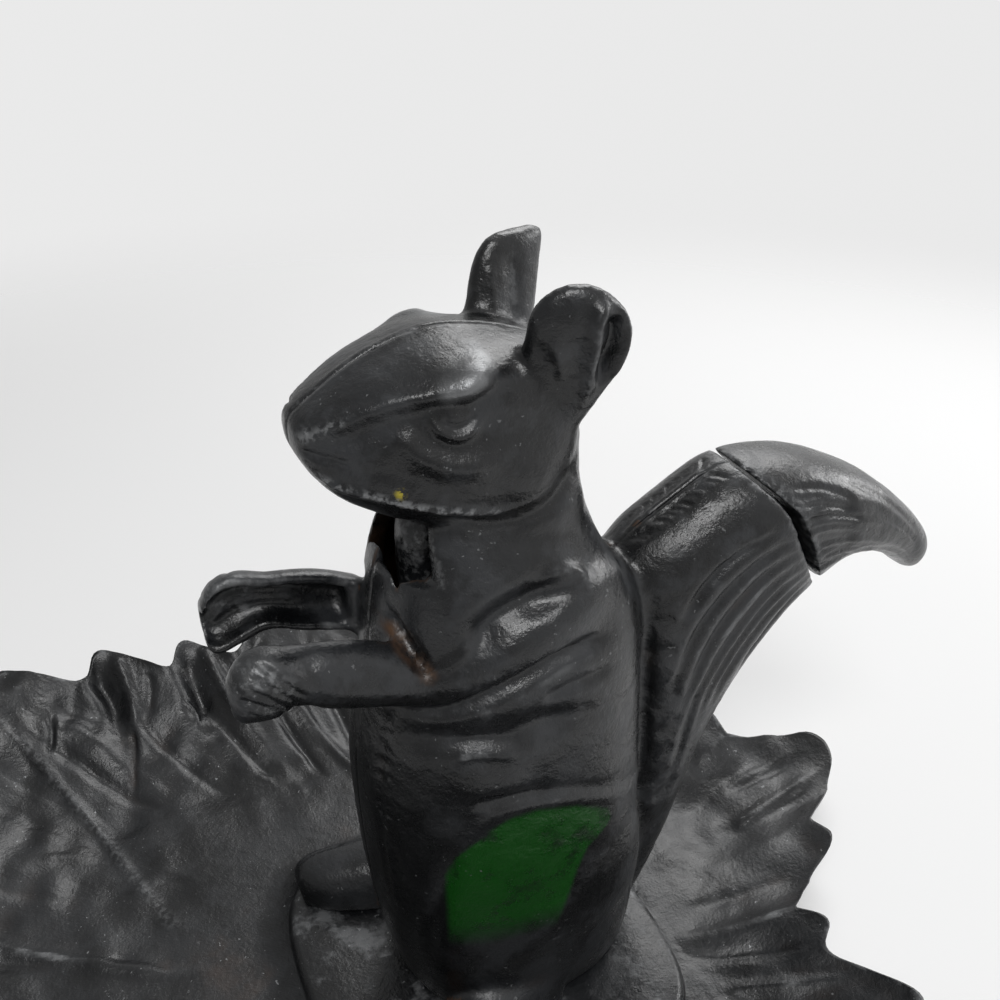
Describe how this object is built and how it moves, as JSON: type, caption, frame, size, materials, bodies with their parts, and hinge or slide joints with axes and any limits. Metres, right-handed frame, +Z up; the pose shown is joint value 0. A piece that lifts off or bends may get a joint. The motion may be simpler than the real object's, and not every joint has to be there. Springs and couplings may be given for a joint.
{
  "type": "lever nutcracker press",
  "caption": "Table nutcracker cast as a squirrel on a leaf tray; lifting the tail drops a jaw under the chin, and pressing the tail down cracks the nut.",
  "frame": {"origin": "on the table, under the middle of the box round the whole part, with the lever at rest", "axes": "the squirrel faces -X and its tail points to +X, its left side faces -Y, +Z up"},
  "size_m": [0.313, 0.28, 0.1919],
  "materials": {
    "black_casting": "worn semi-gloss black paint over cast iron",
    "steel": "plain turned steel"
  },
  "bodies": {
    "body": {"body_left_half": "black_casting", "body_right_half": "black_casting", "pivot_pin": "steel", "neck_clamp_screw": "steel", "haunch_clamp_screw": "steel", "tail_clamp_screw": "steel", "leaf_tray": "black_casting", "tray_screws": "steel"},
    "lever": {"tail_lever": "black_casting"}
  },
  "joints": [
    {"name": "tail_lift", "type": "hinge", "parent": "body", "child": "lever", "pos_m": [0.038, 0, 0.131], "axis": [0, -1, 0], "range_deg": [0, 28]}
  ]
}
